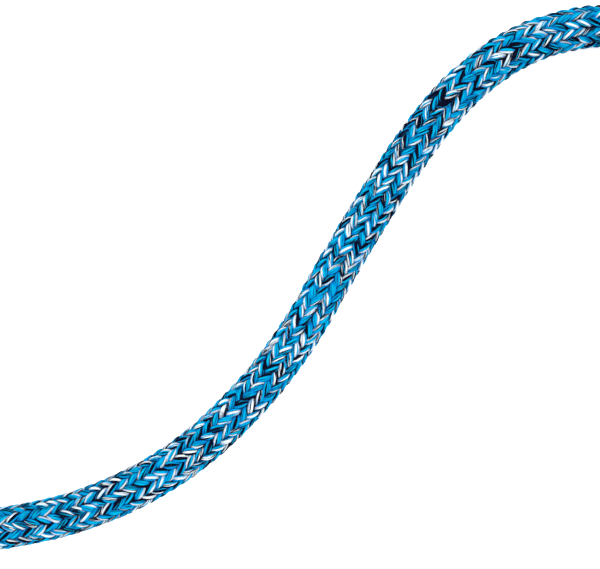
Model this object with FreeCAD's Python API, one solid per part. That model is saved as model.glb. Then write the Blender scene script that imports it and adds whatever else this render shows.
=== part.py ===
import FreeCAD, Part
import math
import os

# A dynamic climbing rope: a braided sheath over seven core strands, most of it put away in a
# strapped hank, with one S-shaped stretch lying free. Millimetres, +Z up, floor at z = 0.

# Rope section
ROPE_D = 10.2
ROPE_SIDES = 8
SHEATH_WALL = 1.2
CORE_CLEARANCE = 0.2
OUTER_STRANDS = 6
MIDDLE_STRAND_FLATS = 2.5
STRAND_GAP = 0.1
TAPE_WIDTH = 2.0
TAPE_THICKNESS = 0.1

# Rope ends: a shrunk sleeve over the sheath and a melted tip
SLEEVE_LENGTH = 18.5
SLEEVE_WALL = 0.35
SLEEVE_FIT = 0.05
TIP_LENGTH = 3.0
TIP_EDGE = 1.4

# Free stretch: corners of its route in plan, from the rope's end to the hank
ROUTE = [
    (-108.5, -61.9),
    (-74.2, -61.8),
    (-35.0, -49.1),
    (-5.6, -21.8),
    (14.0, 13.5),
    (33.5, 43.1),
    (49.5, 57.0),
    (64.7, 63.1),
    (78.7, 63.7),
    (92.5, 63.7),
]
SLEEVED_POINTS = 2
RAISED_POINTS = 2
ARC_SHARE = 0.45

# Hank: every half turn is drawn in by half a step, layer on layer
TURN_GAP = 0.5
LAYER_GAP = 0.6
LAYERS = 13
LAYER_HALF_TURNS = 7
TOP_HALF_TURNS = 6
FOLD_RADIUS = 61.6
HANK_RUN = 186.0
CLIMB_LENGTH = 150.0
LAST_RUN = 88.0
COILED_END_LENGTH = 30.0
WINDING_INSET = 0.2
CORE_GAP = 0.5

# Straps that tie the hank
STRAP_WIDTH = 25.0
STRAP_THICKNESS = 1.4
STRAP_CLEARANCE = 0.3
STRAP_BEND = 1.0
STRAP_SPACING = 110.0
LAP_LENGTH = 70.0

# Values that follow from the sizes above
ROPE_R = ROPE_D / 2
BORE_FLATS = ROPE_D * math.cos(math.pi / ROPE_SIDES) - 2 * SHEATH_WALL
TURN_STEP = ROPE_D + TURN_GAP
LAYER_RISE = ROPE_D + LAYER_GAP
WINDING_WIDTH = ROPE_D - 2 * WINDING_INSET
SLEEVE_R = ROPE_R + SLEEVE_FIT + SLEEVE_WALL
HANK_Z = STRAP_THICKNESS + STRAP_CLEARANCE + ROPE_R
HANK_TOP = HANK_Z + (LAYERS - 1) * LAYER_RISE + ROPE_R
ENTRY_X, ENTRY_Y = ROUTE[-1]
FOLD_Y = ENTRY_Y - FOLD_RADIUS
LEFT_FOLD_X = ENTRY_X + FOLD_RADIUS
RIGHT_FOLD_X = LEFT_FOLD_X + HANK_RUN
HANK_MID_X = (LEFT_FOLD_X + RIGHT_FOLD_X) / 2

UP = FreeCAD.Vector(0, 0, 1)
SAMPLE_STEP = 2.0
NEAR_SAMPLES = 16


def route_points():
    """Corners of the free stretch in space: over the floor, a little higher at both ends."""
    points = []
    for i, (x, y) in enumerate(ROUTE):
        z = ROPE_R
        if i < SLEEVED_POINTS:
            z = SLEEVE_R
        if i >= len(ROUTE) - RAISED_POINTS:
            z = HANK_Z
        points.append(FreeCAD.Vector(x, y, z))
    return points


def rounded_route(points):
    """Straight runs joined by tangent arcs, and each arc's radius."""
    edges = []
    radii = []
    start = points[0]
    for before, corner, after in zip(points, points[1:], points[2:]):
        run_in = corner - before
        run_out = after - corner
        trim = ARC_SHARE * min(run_in.Length, run_out.Length)
        half = run_in.getAngle(run_out) / 2
        radius = trim / math.tan(half)
        run_in.normalize()
        run_out.normalize()
        first = corner - run_in * trim
        last = corner + run_out * trim
        inward = run_out - run_in
        inward.normalize()
        middle = corner + inward * (radius / math.cos(half) - radius)
        edges.append(Part.LineSegment(start, first).toShape())
        edges.append(Part.Arc(first, middle, last).toShape())
        radii.append(radius)
        start = last
    edges.append(Part.LineSegment(start, points[-1]).toShape())
    return Part.Wire(edges), radii


def cross_axes(direction):
    """Level and upright axes square to a nearly level direction."""
    side = UP.cross(direction)
    side.normalize()
    return side, direction.cross(side)


def profile(centre, direction, outline):
    """A closed outline of sideways and upward shifts, placed square to a direction."""
    side, up = cross_axes(direction)
    points = [centre + side * across + up * height for across, height in outline]
    return Part.makePolygon(points + points[:1])


def polygon(sides, diameter):
    """Corners of a regular polygon on a diameter, with a flat on top."""
    corners = []
    for k in range(sides):
        angle = math.pi / 2 + (2 * k + 1) * math.pi / sides
        corners.append((diameter / 2 * math.cos(angle), diameter / 2 * math.sin(angle)))
    return corners


def polygon_area(sides, diameter):
    """Area of a regular polygon whose corners lie on a diameter."""
    return sides / 8 * math.sin(2 * math.pi / sides) * diameter ** 2


def across_corners(flats):
    """Diameter over the corners of a polygon that has one side for each outer strand."""
    return flats / math.cos(math.pi / OUTER_STRANDS)


def swept(spine, outline):
    """One closed solid of an outline carried along a spine."""
    return spine.makePipeShell([outline], True, False)


def sheath(spine, start, direction):
    """The braided sheath of the free stretch as a hollow faceted tube."""
    outer = swept(spine, profile(start, direction, polygon(ROPE_SIDES, ROPE_D)))
    bore = polygon(OUTER_STRANDS, across_corners(BORE_FLATS))
    return outer.cut(swept(spine, profile(start, direction, bore)))


def middle_strand(spine, start, direction):
    """The strand in the middle of the core, pressed to a hexagon by the ones round it."""
    outline = polygon(OUTER_STRANDS, across_corners(MIDDLE_STRAND_FLATS))
    return swept(spine, profile(start, direction, outline))


def outer_strand(spine, start, direction, index):
    """One strand of the ring round the middle, pressed flat by its neighbours."""
    near = MIDDLE_STRAND_FLATS / 2 + STRAND_GAP
    far = BORE_FLATS / 2 - CORE_CLEARANCE
    slope = math.tan(math.pi / OUTER_STRANDS)
    inset = STRAND_GAP / 2 / math.cos(math.pi / OUTER_STRANDS)
    angle = math.pi / 2 + index * 2 * math.pi / OUTER_STRANDS
    outline = []
    for out, sign in ((near, -1), (far, -1), (far, 1), (near, 1)):
        along = sign * (out * slope - inset)
        across = out * math.cos(angle) - along * math.sin(angle)
        height = out * math.sin(angle) + along * math.cos(angle)
        outline.append((across, height))
    return swept(spine, profile(start, direction, outline))


def marker_tape(spine, start, direction):
    """The thin tape that lies on top of the core, under the sheath."""
    low = BORE_FLATS / 2 - (CORE_CLEARANCE + TAPE_THICKNESS) / 2
    half = TAPE_WIDTH / 2
    high = low + TAPE_THICKNESS
    outline = [(-half, low), (half, low), (half, high), (-half, high)]
    return swept(spine, profile(start, direction, outline))


def prism(base, direction, outline, length):
    """A straight solid of an outline."""
    return Part.Face(profile(base, direction, outline)).extrude(direction * length)


def sleeve_bore(base, outward):
    """The room for the rope inside a sleeve."""
    return prism(base, outward, polygon(ROPE_SIDES, ROPE_D + 2 * SLEEVE_FIT), SLEEVE_LENGTH)


def round_sleeve(end, outward):
    """A thin shrunk sleeve over the free end, round outside so that a clamp can grip it."""
    base = end - outward * SLEEVE_LENGTH
    tube = Part.makeCylinder(SLEEVE_R, SLEEVE_LENGTH, base, outward)
    return tube.cut(sleeve_bore(base, outward))


def faceted_sleeve(end, outward):
    """The same sleeve over the end that lies in the hank, with the rope's own faces."""
    base = end - outward * SLEEVE_LENGTH
    tube = prism(base, outward, polygon(ROPE_SIDES, 2 * SLEEVE_R), SLEEVE_LENGTH)
    return tube.cut(sleeve_bore(base, outward))


def melted_tip(end, outward):
    """The melted end of the rope, pressed flat, with a sloping edge."""
    block = prism(end, outward, polygon(ROPE_SIDES, ROPE_D), TIP_LENGTH)
    far = max(block.Faces, key=lambda face: (face.CenterOfMass - end).dot(outward))
    return block.makeChamfer(TIP_EDGE, far.Edges)


def climb(start, forward, rise):
    """Two arcs that lift a level run by one layer."""
    end = start + forward * CLIMB_LENGTH + UP * rise
    middle = (start + end) * 0.5
    radius = (CLIMB_LENGTH ** 2 + rise ** 2) / (4 * rise)
    half = math.asin(CLIMB_LENGTH / 2 / radius) / 2
    along = radius * math.sin(half)
    above = radius * (1 - math.cos(half))
    low = Part.Arc(start, start + forward * along + UP * above, middle)
    high = Part.Arc(middle, end - forward * along - UP * above, end)
    return [low.toShape(), high.toShape()], end


def half_turn(start, fold_x, outward, drawn_in):
    """Half a turn round one end of the hank, and the point where it ends."""
    radius = FOLD_RADIUS - drawn_in
    centre = FreeCAD.Vector(fold_x, start.y - outward * radius, start.z)
    end = FreeCAD.Vector(fold_x, centre.y - outward * radius, start.z)
    tip = centre + FreeCAD.Vector(outward * radius, 0, 0)
    return Part.Arc(start, tip, end).toShape(), end


def winding_spine():
    """Centre line of the outer turns: up the sides, then in over the top, as one line."""
    edges = []
    point = FreeCAD.Vector(ENTRY_X, ENTRY_Y, HANK_Z)
    right = FreeCAD.Vector(RIGHT_FOLD_X, ENTRY_Y, HANK_Z)
    edges.append(Part.LineSegment(point, right).toShape())
    point = right
    back = FreeCAD.Vector(-1, 0, 0)
    level = (HANK_RUN - CLIMB_LENGTH) / 2
    for _ in range(LAYERS - 1):
        arc, point = half_turn(point, RIGHT_FOLD_X, 1, 0.0)
        edges.append(arc)
        climb_start = point + back * level
        edges.append(Part.LineSegment(point, climb_start).toShape())
        arcs, point = climb(climb_start, back, LAYER_RISE)
        edges.extend(arcs)
        left = point + back * level
        edges.append(Part.LineSegment(point, left).toShape())
        arc, point = half_turn(left, LEFT_FOLD_X, -1, 0.0)
        edges.append(arc)
        right = FreeCAD.Vector(RIGHT_FOLD_X, point.y, point.z)
        edges.append(Part.LineSegment(point, right).toShape())
        point = right
    for k in range(TOP_HALF_TURNS):
        at_right = k % 2 == 0
        fold_x = RIGHT_FOLD_X if at_right else LEFT_FOLD_X
        outward = 1 if at_right else -1
        arc, point = half_turn(point, fold_x, outward, (k + 1) * TURN_STEP / 2)
        edges.append(arc)
        run = LAST_RUN if k == TOP_HALF_TURNS - 1 else HANK_RUN
        end = point - FreeCAD.Vector(outward * run, 0, 0)
        edges.append(Part.LineSegment(point, end).toShape())
        point = end
    return Part.Wire(edges), point


def racetrack(radius, low, high):
    """A block with straight sides and round ends, as long as the hank's runs."""
    left = FreeCAD.Vector(LEFT_FOLD_X, FOLD_Y, low)
    right = FreeCAD.Vector(RIGHT_FOLD_X, FOLD_Y, low)
    out_y = FreeCAD.Vector(0, radius, 0)
    out_x = FreeCAD.Vector(radius, 0, 0)
    edges = [
        Part.LineSegment(left + out_y, right + out_y).toShape(),
        Part.Arc(right + out_y, right + out_x, right - out_y).toShape(),
        Part.LineSegment(right - out_y, left - out_y).toShape(),
        Part.Arc(left - out_y, left - out_x, left + out_y).toShape(),
    ]
    return Part.Face(Part.Wire(edges)).extrude(UP * (high - low))


def inner_turns():
    """The turns inside the hank as one plain ring, within the outer turns and under the top."""
    low = HANK_Z - ROPE_R
    high = HANK_TOP - ROPE_D - CORE_GAP
    outer = racetrack(FOLD_RADIUS - ROPE_R - CORE_GAP, low, high)
    last_fold = FOLD_RADIUS - (LAYER_HALF_TURNS - 1) * TURN_STEP / 2
    eye = racetrack(last_fold - ROPE_R, low, high)
    return outer.cut(eye)


def rounded_loop(clearance):
    """A rounded rectangle round the hank in the plane across its runs."""
    y_low = FOLD_Y - FOLD_RADIUS - ROPE_R - clearance
    y_high = FOLD_Y + FOLD_RADIUS + ROPE_R + clearance
    z_low = HANK_Z - ROPE_R - clearance
    z_high = HANK_TOP + clearance
    bend = STRAP_BEND + clearance
    corner = bend * (1 - math.sqrt(0.5))
    edges = []
    ways = [(y_high, z_high, 1, 1), (y_low, z_high, -1, 1), (y_low, z_low, -1, -1), (y_high, z_low, 1, -1)]
    arcs = []
    for k, (y, z, side_y, side_z) in enumerate(ways):
        upright = FreeCAD.Vector(0, y, z - side_z * bend)
        level = FreeCAD.Vector(0, y - side_y * bend, z)
        middle = FreeCAD.Vector(0, y - side_y * corner, z - side_z * corner)
        first, last = (upright, level) if k % 2 == 0 else (level, upright)
        arcs.append((first, middle, last))
    for (first, middle, last), (following, _, _) in zip(arcs, arcs[1:] + arcs[:1]):
        edges.append(Part.Arc(first, middle, last).toShape())
        edges.append(Part.LineSegment(last, following).toShape())
    return Part.Wire(edges)


def strap(middle_x):
    """A webbing strap round the hank, with its end lapped over the top."""
    outer = rounded_loop(STRAP_CLEARANCE + STRAP_THICKNESS)
    inner = rounded_loop(STRAP_CLEARANCE)
    band = Part.Face([outer, inner]).extrude(FreeCAD.Vector(STRAP_WIDTH, 0, 0))
    band.translate(FreeCAD.Vector(middle_x - STRAP_WIDTH / 2, 0, 0))
    top = HANK_TOP + STRAP_CLEARANCE + STRAP_THICKNESS
    corner = FreeCAD.Vector(middle_x - STRAP_WIDTH / 2, FOLD_Y - LAP_LENGTH / 2, top)
    lap = Part.makeBox(STRAP_WIDTH, LAP_LENGTH, STRAP_THICKNESS, corner)
    return band.fuse(lap).removeSplitter()


def least_gap(spine):
    """Least free gap between stretches of one tube that aren't neighbours along it."""
    count = int(spine.Length / SAMPLE_STEP)
    points = spine.discretize(Number=count)
    cells = {}
    least = HANK_RUN
    for i, point in enumerate(points):
        key = (int(point.x // ROPE_D), int(point.y // ROPE_D), int(point.z // ROPE_D))
        for dx in (-1, 0, 1):
            for dy in (-1, 0, 1):
                for dz in (-1, 0, 1):
                    for j in cells.get((key[0] + dx, key[1] + dy, key[2] + dz), []):
                        if i - j > NEAR_SAMPLES:
                            least = min(least, (point - points[j]).Length - ROPE_D)
        cells.setdefault(key, []).append(i)
    return least


def free_stretch():
    """The pieces of the stretch that lies free, with its sleeved and melted end."""
    spine, radii = rounded_route(route_points())
    start = spine.Edges[0].valueAt(spine.Edges[0].FirstParameter)
    direction = spine.Edges[0].tangentAt(spine.Edges[0].FirstParameter)
    print("free stretch", round(spine.Length, 1), "arc radii", [round(r, 1) for r in radii])
    tube = sheath(spine, start, direction)
    area = polygon_area(ROPE_SIDES, ROPE_D) - polygon_area(OUTER_STRANDS, across_corners(BORE_FLATS))
    print("sheath volume over section times length", round(tube.Volume / (area * spine.Length), 4))
    pieces = {"sheath_free_stretch": tube}
    pieces["core_strand_middle"] = middle_strand(spine, start, direction)
    for index in range(OUTER_STRANDS):
        pieces["core_strand_" + str(index + 1)] = outer_strand(spine, start, direction, index)
    pieces["marker_tape"] = marker_tape(spine, start, direction)
    pieces["free_end_sleeve"] = round_sleeve(start, direction * -1)
    pieces["free_end_tip"] = melted_tip(start, direction * -1)
    return pieces


def hank():
    """The pieces of the hank: its turns, the rope's other end and the straps."""
    spine, end = winding_spine()
    half = WINDING_WIDTH / 2
    outline = [(half, half), (-half, half), (-half, -half), (half, -half)]
    start = FreeCAD.Vector(ENTRY_X, ENTRY_Y, HANK_Z)
    turns = swept(spine, profile(start, FreeCAD.Vector(1, 0, 0), outline))
    volume = WINDING_WIDTH ** 2 * spine.Length
    print("winding length", round(spine.Length, 1), "least gap", round(least_gap(spine), 3))
    print("winding volume over section times length", round(turns.Volume / volume, 4))
    last = spine.Edges[-1]
    onward = end - last.valueAt(last.FirstParameter)
    onward.normalize()
    pieces = {"hank_outer_turns": turns, "hank_inner_turns": inner_turns()}
    pieces["coiled_end"] = prism(end, onward, polygon(ROPE_SIDES, ROPE_D), COILED_END_LENGTH)
    end = end + onward * COILED_END_LENGTH
    pieces["coiled_end_sleeve"] = faceted_sleeve(end, onward)
    pieces["coiled_end_tip"] = melted_tip(end, onward)
    for index, side in enumerate((-1, 1)):
        pieces["strap_" + str(index + 1)] = strap(HANK_MID_X + side * STRAP_SPACING / 2)
    return pieces


def main():
    os.makedirs("parts", exist_ok=True)
    pieces = free_stretch()
    pieces.update(hank())
    box = Part.makeCompound(list(pieces.values())).BoundBox
    under_middle = FreeCAD.Vector(box.Center.x, box.Center.y, 0)
    print("origin in plan", round(under_middle.x, 3), round(under_middle.y, 3), "lowest", round(box.ZMin, 4))
    for name, shape in pieces.items():
        shape.translate(under_middle * -1)
        shape.exportStep("parts/" + name + ".step")
        print(name, "valid", shape.isValid(), "volume", round(shape.Volume, 1))


main()
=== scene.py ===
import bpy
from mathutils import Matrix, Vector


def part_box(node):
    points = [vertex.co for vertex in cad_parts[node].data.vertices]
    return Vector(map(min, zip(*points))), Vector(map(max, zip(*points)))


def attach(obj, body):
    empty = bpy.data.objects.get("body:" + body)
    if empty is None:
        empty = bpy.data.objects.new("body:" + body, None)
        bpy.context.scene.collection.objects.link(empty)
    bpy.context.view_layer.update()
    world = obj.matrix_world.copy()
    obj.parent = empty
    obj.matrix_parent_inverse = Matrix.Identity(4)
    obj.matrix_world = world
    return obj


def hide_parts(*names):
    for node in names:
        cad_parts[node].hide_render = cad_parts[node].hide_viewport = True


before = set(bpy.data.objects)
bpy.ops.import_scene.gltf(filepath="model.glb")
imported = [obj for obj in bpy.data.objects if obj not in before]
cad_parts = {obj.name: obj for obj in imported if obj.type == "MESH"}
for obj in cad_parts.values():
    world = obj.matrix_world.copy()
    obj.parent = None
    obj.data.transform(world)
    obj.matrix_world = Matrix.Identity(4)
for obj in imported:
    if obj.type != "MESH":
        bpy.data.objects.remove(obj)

"""A dynamic climbing rope: an S-shaped stretch with its braid of single yarns, and a strapped hank.

Lengths are in metres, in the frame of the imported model. The photograph looks straight down on
the free stretch, and the hank lies just past its right edge.
"""

import logging
import math
import random
from collections.abc import Mapping, Sequence
from dataclasses import dataclass, fields
from enum import Enum

import bpy
import numpy as np
from mathutils import Vector

log = logging.getLogger("rope")

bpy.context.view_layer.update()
MM = 0.001
BODY = "root"
TURN = 2 * math.pi

Mesh, Piece, Material = bpy.types.Mesh, bpy.types.Object, bpy.types.Material
Tree, Socket = bpy.types.NodeTree, bpy.types.NodeSocket
Colour = tuple[float, float, float, float]
Span = tuple[float, float]

UNIT: Span = (0.0, 1.0)
FALLING: Span = (1.0, 0.0)
BOTH_WAYS: Span = (-1.0, 1.0)
UV = "UVMap"


class Hand(Enum):
    """Which way a yarn winds round the rope, as the sign of its turn."""

    RIGHT = 1
    LEFT = -1


class End(Enum):
    """Place of one of the three ends that lie side by side in a carrier."""

    FIRST = -1
    MIDDLE = 0
    LAST = 1


# Step of the strand number from one end of a carrier to the next; a carrier's own is 1.
END_STEP = 0.31


@dataclass(frozen=True)
class RopeSize:
    """The rope's own sizes."""

    diameter: float = 10.2 * MM
    length: float = 30.0
    sleeve_radius: float = 5.5 * MM
    sleeve_length: float = 18.5 * MM
    tip_length: float = 3.0 * MM

    @property
    def radius(self) -> float:
        """Half the diameter."""
        return self.diameter / 2


@dataclass(frozen=True)
class BraidPlan:
    """How the sheath is braided: each yarn passes over two and under two.

    Attributes:
        carriers: Carriers that wind one way round; as many wind the other way.
        lay: Length of rope in which a carrier goes once round.
        crimp: How far a yarn's middle moves out and in.
        middle_radius: Of the cylinder that the yarns swing about.
        spacing: From one end of a carrier to the next, square to the yarn.
        width: Of one end.
        thickness: Of one end.
        base_radius: Of the dark tube under the yarns, whose dark colour is painted shade in the gaps.
        step: Between the points along a yarn.
    """

    carriers: int = 14
    lay: float = 39.9 * MM
    crimp: float = 0.44 * MM
    middle_radius: float = 4.50 * MM
    spacing: float = 0.45 * MM
    width: float = 0.64 * MM
    thickness: float = 0.66 * MM
    base_radius: float = 3.98 * MM
    step: float = 0.62 * MM


ROPE = RopeSize()
BRAID = BraidPlan()

ROUTE: tuple[tuple[float, float, float], ...] = (
    (-0.1085, -0.0619, 0.0055),
    (-0.0742, -0.0618, 0.0055),
    (-0.0350, -0.0491, 0.0053),
    (-0.0056, -0.0218, 0.0053),
    (0.0140, 0.0135, 0.0053),
    (0.0335, 0.0431, 0.0053),
    (0.0495, 0.0570, 0.0053),
    (0.0647, 0.0631, 0.0053),
    (0.0787, 0.0637, 0.0068),
    (0.0925, 0.0637, 0.0068),
)


class Value:
    """A node's output that takes part in sums: each operation adds a Math node."""

    def __init__(self, graph: "Graph", socket: Socket) -> None:
        """Keeps the graph and the output."""
        self.graph, self.socket = graph, socket

    def __add__(self, other: "Input") -> "Value":
        """Sum."""
        return self.graph.math("ADD", self, other)

    def __mul__(self, other: "Input") -> "Value":
        """Product."""
        return self.graph.math("MULTIPLY", self, other)

    def __sub__(self, other: "Input") -> "Value":
        """Difference."""
        return self.graph.math("SUBTRACT", self, other)

    def __rsub__(self, other: "Input") -> "Value":
        """Difference from a number."""
        return self.graph.math("SUBTRACT", other, self)

    def __truediv__(self, other: "Input") -> "Value":
        """Quotient."""
        return self.graph.math("DIVIDE", self, other)

    def __rtruediv__(self, other: "Input") -> "Value":
        """Quotient of a number."""
        return self.graph.math("DIVIDE", other, self)

    def __pow__(self, other: "Input") -> "Value":
        """Power."""
        return self.graph.math("POWER", self, other)

    def __abs__(self) -> "Value":
        """Size without the sign."""
        return self.graph.math("ABSOLUTE", self)

    __radd__, __rmul__ = __add__, __mul__


Input = Value | Socket | float | Sequence[float]


class Graph:
    """A node tree under construction."""

    def __init__(self, tree: Tree) -> None:
        """Keeps the tree that the nodes go into."""
        self.tree = tree

    def add(self, kind: str, inputs: Mapping[int | str, Input] | None = None,
            **settings: object) -> bpy.types.Node:
        """Adds a node.

        Args:
            kind: Blender's name of the node type.
            inputs: Inputs by the socket's name or number.
            **settings: The node's own properties.

        Returns:
            The new node.
        """
        node = self.tree.nodes.new(kind)
        for name, value in settings.items():
            setattr(node, name, value)
        for key, value in (inputs or {}).items():
            self.feed(node.inputs[key], value)
        return node

    def get(self, kind: str, inputs: Mapping[int | str, Input] | None = None,
            output: int | str = 0, **settings: object) -> Value:
        """Adds a node and gives one of its outputs."""
        return Value(self, self.add(kind, inputs, **settings).outputs[output])

    def feed(self, socket: Socket, value: Input) -> None:
        """Links a socket to an output, or sets the socket's own value.

        Args:
            socket: An input of a node.
            value: What goes into it.
        """
        if isinstance(value, Value):
            value = value.socket
        if isinstance(value, Socket):
            self.tree.links.new(value, socket)
        else:
            socket.default_value = value

    def outputs(self, node: bpy.types.Node) -> dict[str, Value]:
        """A node's outputs by name."""
        return {socket.name: Value(self, socket) for socket in node.outputs}

    def given(self) -> dict[str, Value]:
        """The group's own inputs by name."""
        return self.outputs(self.add("NodeGroupInput"))

    def math(self, operation: str, *values: Input) -> Value:
        """Result of a Math node."""
        return self.get("ShaderNodeMath", dict(enumerate(values)), operation=operation)

    def vector(self, operation: str, first: Input, second: Input) -> Value:
        """Vector result of a Vector Math node."""
        keys = {0: first, "Scale" if operation == "SCALE" else 1: second}
        return self.get("ShaderNodeVectorMath", keys, "Vector", operation=operation)

    def combine(self, x: Input, y: Input, z: Input = 0.0) -> Value:
        """A vector of three values."""
        return self.get("ShaderNodeCombineXYZ", {0: x, 1: y, 2: z})

    def split(self, vector: Input) -> list[Value]:
        """The three values of a vector."""
        return list(self.outputs(self.add("ShaderNodeSeparateXYZ", {0: vector})).values())

    def blend(self, factor: Input, first: Input, second: Input) -> Value:
        """A value between two, by a factor from 0 to 1."""
        return self.get("ShaderNodeMix", {0: factor, 2: first, 3: second}, data_type="FLOAT")

    def tint(self, factor: Input, first: Input, second: Input) -> Value:
        """A colour between two, by a factor from 0 to 1."""
        return self.get("ShaderNodeMix", {0: factor, 6: first, 7: second}, 2, data_type="RGBA")

    def fit(self, value: Input, span: Span, to: Span = UNIT) -> Value:
        """A value moved from one span to another and kept inside it."""
        names = ("Value", "From Min", "From Max", "To Min", "To Max")
        return self.get("ShaderNodeMapRange", dict(zip(names, (value, *span, *to))))

    def noise(self, place: Input, scale: float = 1.0, detail: float = 3.0,
              distortion: float = 0.0) -> Value:
        """Noise at a place."""
        keys = {"Vector": place, "Scale": scale, "Detail": detail, "Distortion": distortion}
        return self.get("ShaderNodeTexNoise", keys)

    def attribute(self, name: str, output: str = "Fac") -> Value:
        """What the mesh carries under a name."""
        return self.get("ShaderNodeAttribute", output=output, attribute_name=name)

    def uv(self) -> list[Value]:
        """Place on the piece's UV map."""
        return self.split(self.get("ShaderNodeUVMap", uv_map=UV))

    def store(self, geometry: Input, name: str, value: Input, kind: str = "FLOAT") -> Value:
        """Geometry whose points carry a value under a name."""
        keys = {"Geometry": geometry, "Name": name, "Value": value}
        return self.get("GeometryNodeStoreNamedAttribute", keys, data_type=kind, domain="POINT")


def new_group(name: str, kind: str, inputs: Mapping[str, str], outputs: Mapping[str, str]) -> Graph:
    """Makes an empty node group with named sockets.

    Args:
        name: The group's name.
        kind: The tree's type.
        inputs: Socket types by input name.
        outputs: Socket types by output name.

    Returns:
        The graph of the new group.
    """
    tree = bpy.data.node_groups.new(name, kind)
    for side, sockets in (("INPUT", inputs), ("OUTPUT", outputs)):
        for socket, socket_kind in sockets.items():
            tree.interface.new_socket(socket, in_out=side, socket_type="NodeSocket" + socket_kind)
    return Graph(tree)


def titled(record: object) -> dict[str, object]:
    """A dataclass's fields by the names that node sockets have."""
    return {field.name.replace("_", " ").title(): getattr(record, field.name)
            for field in fields(record)}


@dataclass(frozen=True)
class Filaments:
    """Sizes of fine streaks: how many in one unit across, and how long each is."""

    density: float
    length: float


class EffectLibrary:
    """Shader node groups that more than one finish uses, each built once.

    Attributes:
        filaments: Fine streaks that run along a yarn.
        mixed_yarn: The colour that an end shows on one float.
        streak_span: Noise that counts as 0 and as 1 in a streak.
        streak_detail: Of that noise.
        own_layer: Moves an end's own draw away from its carrier's.
    """

    streak_span: Span = (0.34, 0.66)
    streak_detail: float = 2.0
    own_layer: float = 20.0

    def __init__(self) -> None:
        """Builds the groups."""
        self.filaments = self.build_filaments()
        self.mixed_yarn = self.build_mixed_yarn()

    def build_filaments(self) -> Tree:
        """Fine streaks that run along a yarn.

        Returns:
            A group that turns a place across and along the yarn into a streak from 0 to 1.
        """
        names = ("Across", "Along", "Seed", "Density", "Length")
        g = new_group("filaments", "ShaderNodeTree", dict.fromkeys(names, "Float"), {"Streak": "Float"})
        given = g.given()
        along = given["Along"] / given["Length"]
        place = g.combine(given["Across"] * given["Density"], along, given["Seed"])
        streak = g.fit(g.noise(place, detail=self.streak_detail), self.streak_span)
        g.add("NodeGroupOutput", {"Streak": streak})
        return g.tree

    def build_mixed_yarn(self) -> Tree:
        """Picks the colour that an end shows on one float, mostly another than its neighbours'.

        Returns:
            A group that turns a cell, the same all over one carrier's float, and the end's place in
            the carrier, -1 to 1, into a colour and the draw behind it.
        """
        colours = ("Blue", "Deep Blue", "White", "Grey", "Navy")
        numbers = ("End", "Freedom", "Streak", "Blue Share", "White Share")
        inputs = {"Cell": "Vector", **dict.fromkeys(numbers, "Float"), **dict.fromkeys(colours, "Color")}
        g = new_group("mixed_yarn", "ShaderNodeTree", inputs, {"Color": "Color", "Value": "Float"})
        given = g.given()
        end = g.math("ROUND", given["End"])
        own_cell = g.vector("ADD", given["Cell"], g.combine(0.0, 0.0, end + self.own_layer))
        shared, own = (g.get("ShaderNodeTexWhiteNoise", {"Vector": cell}, "Value", noise_dimensions="3D")
                       for cell in (given["Cell"], own_cell))
        pick = g.math("FRACT", shared + end / float(len(End)) + own * given["Freedom"])
        light = g.math("GREATER_THAN", pick, given["Blue Share"])
        dark = g.math("GREATER_THAN", pick, given["Blue Share"] + given["White Share"])
        # Each colour runs from its painted shaded copy to its lit one by the Streak input, which carries
        # painted shade and highlight along with the fine streaks.
        blue = g.tint(given["Streak"], given["Deep Blue"], given["Blue"])
        white = g.tint(given["Streak"], given["Grey"], given["White"])
        colour = g.tint(dark, g.tint(light, blue, white), given["Navy"])
        g.add("NodeGroupOutput", {"Color": colour, "Value": pick})
        return g.tree

    def streak(self, g: Graph, across: Input, along: Input, seed: Input, size: Filaments) -> Value:
        """Places the filament group.

        Args:
            g: The material's graph.
            across: Place across the yarn.
            along: Place along the yarn, in metres.
            seed: A number of the yarn's own.
            size: Of the streaks.

        Returns:
            The streak, from 0 to 1.
        """
        keys = {**titled(size), "Across": across, "Along": along, "Seed": seed}
        return g.get("ShaderNodeGroup", keys, node_tree=self.filaments)


@dataclass(frozen=True)
class Finish:
    """A material.

    Attributes:
        name: The material's name.
        roughness: At its middle.
        rough_by: How far the roughness moves from there, at each end of what drives it.
        sheen: The same all over.
        specular: The same all over.
        depth: How deep a height of 1 is.
    """

    name: str
    roughness: float = 0.5
    rough_by: Span | None = None
    sheen: float = 0.0
    specular: float = 0.3
    depth: float = 0.05 * MM

    def start(self) -> tuple[Material, Graph, bpy.types.Node]:
        """Makes the material with its own shader.

        Returns:
            The material, its graph, and its Principled node.
        """
        material = bpy.data.materials.new(self.name)
        material.use_nodes = True
        material.node_tree.nodes.clear()
        g = Graph(material.node_tree)
        shader = g.add("ShaderNodeBsdfPrincipled", {
            "Roughness": self.roughness, "Sheen Weight": self.sheen, "Specular IOR Level": self.specular})
        g.add("ShaderNodeOutputMaterial", {"Surface": shader.outputs[0]})
        return material, g, shader

    def surface(self, g: Graph, effects: EffectLibrary) -> tuple[Value, Value, Value]:
        """Nodes that vary over the surface.

        Args:
            g: The material's graph.
            effects: The shared groups.

        Returns:
            The colour, what drives the roughness, from 0 to 1, and the height, from 0 to 1.
        """
        raise NotImplementedError

    def material(self, effects: EffectLibrary) -> Material:
        """Builds the material.

        Args:
            effects: The shared groups.

        Returns:
            The material.
        """
        material, g, shader = self.start()
        colour, driver, height = self.surface(g, effects)
        g.feed(shader.inputs["Base Color"], colour)
        if self.rough_by:
            low, high = self.rough_by
            rough = g.fit(driver, UNIT, (self.roughness + low, self.roughness + high))
            g.feed(shader.inputs["Roughness"], rough)
        bump = g.get("ShaderNodeBump", {"Height": height, "Distance": self.depth, "Strength": 1.0})
        g.feed(shader.inputs["Normal"], bump)
        return material


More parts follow.
